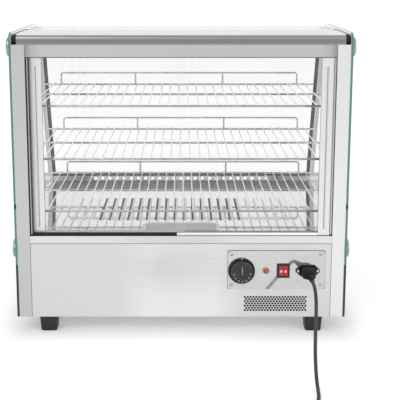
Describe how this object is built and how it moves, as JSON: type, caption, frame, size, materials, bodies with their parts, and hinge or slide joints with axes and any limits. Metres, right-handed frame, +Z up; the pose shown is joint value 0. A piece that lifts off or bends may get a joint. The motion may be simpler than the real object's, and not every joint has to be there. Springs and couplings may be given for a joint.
{
  "type": "heated display case",
  "caption": "Countertop heated food display case with wire shelves, sliding glass doors on the service side and one bent glass on the customer side.",
  "frame": {"origin": "centre of the case's footprint, on the surface it stands on, measured without the cord", "axes": "+X to the right as seen from the service side, +Y away from the service side towards the bent glass, +Z up"},
  "size_m": [0.7002, 0.96, 0.63],
  "materials": {
    "steel": "fine satin stainless steel",
    "dark_steel": "satin stainless steel seen darker at the nose",
    "polished_steel": "mirror-polished stainless steel",
    "chrome_wire": "bright plated wire",
    "cap_metal": "satin plated clamp cap",
    "aluminium": "anodised extrusion",
    "glass": "clear tempered glass with green edges",
    "seal_rubber": "matt dark seal",
    "black_plastic": "moulded black plastic",
    "knob_plastic": "fine grained dark plastic",
    "lamp_orange": "clear orange lens",
    "rocker_red": "clear red key, lit",
    "cord_rubber": "matt cord jacket"
  },
  "bodies": {
    "case": {"base_shell": "steel", "base_bottom": "steel", "service_panel": "steel", "cavity_floor": "polished_steel", "post_left": "steel", "post_right": "steel", "top_panel": "dark_steel", "top_plug_left": "black_plastic", "top_plug_right": "black_plastic", "header_rail": "steel", "upper_track": "black_plastic", "sill_rail": "steel", "lower_track": "black_plastic", "side_glass_left": "glass", "side_glass_right": "glass", "curved_glass": "glass", "glass_gasket": "seal_rubber", "clamp_cap_left_upper": "cap_metal", "clamp_cap_left_lower": "cap_metal", "clamp_cap_right_upper": "cap_metal", "clamp_cap_right_lower": "cap_metal", "jamb_left": "seal_rubber", "jamb_right": "seal_rubber", "control_plate": "polished_steel", "thermostat": "black_plastic", "pilot_lamp": "lamp_orange", "switch_frame": "black_plastic", "power_inlet": "black_plastic", "foot_front_left": "black_plastic", "foot_front_right": "black_plastic", "foot_rear_left": "black_plastic", "foot_rear_right": "black_plastic", "shelf_upper": "chrome_wire", "shelf_middle": "chrome_wire", "shelf_lower": "chrome_wire", "gallery_upper": "chrome_wire", "gallery_middle": "chrome_wire", "gallery_lower": "chrome_wire", "arm_left_upper": "steel", "arm_right_upper": "steel", "arm_left_middle": "steel", "arm_right_middle": "steel", "arm_left_lower": "steel", "arm_right_lower": "steel", "lamp_bar": "aluminium", "cord_connector": "cord_rubber", "cord_run": "cord_rubber", "cord_coil": "cord_rubber", "mains_plug": "black_plastic"},
    "door_left": {"door_left_stile": "aluminium", "door_left_rail": "aluminium", "door_left_glass": "glass"},
    "door_right": {"door_right_stile": "aluminium", "door_right_rail": "aluminium", "door_right_glass": "glass"},
    "knob": {"thermostat_knob": "knob_plastic"},
    "switch_key_left": {"rocker_left": "rocker_red"},
    "switch_key_right": {"rocker_right": "rocker_red"},
    "pan": {"water_pan": "polished_steel"}
  },
  "joints": [
    {"name": "door_left_slide", "type": "slide", "parent": "case", "child": "door_left", "axis": [1, 0, 0], "range_m": [0, 0.29]},
    {"name": "door_right_slide", "type": "slide", "parent": "case", "child": "door_right", "axis": [-1, 0, 0], "range_m": [0, 0.29]},
    {"name": "thermostat_turn", "type": "hinge", "parent": "case", "child": "knob", "pos_m": [0.1262, -0.26, 0.1362], "axis": [0, 1, 0], "range_deg": [0, 270]},
    {"name": "switch_left_rock", "type": "hinge", "parent": "case", "child": "switch_key_left", "pos_m": [0.20833, -0.2465, 0.1362], "axis": [1, 0, 0], "range_deg": [0, 12]},
    {"name": "switch_right_rock", "type": "hinge", "parent": "case", "child": "switch_key_right", "pos_m": [0.21767, -0.2465, 0.1362], "axis": [1, 0, 0], "range_deg": [0, 12]},
    {"name": "pan_lift", "type": "slide", "parent": "case", "child": "pan", "axis": [0, 0, 1], "range_m": [0, 0.035]}
  ]
}
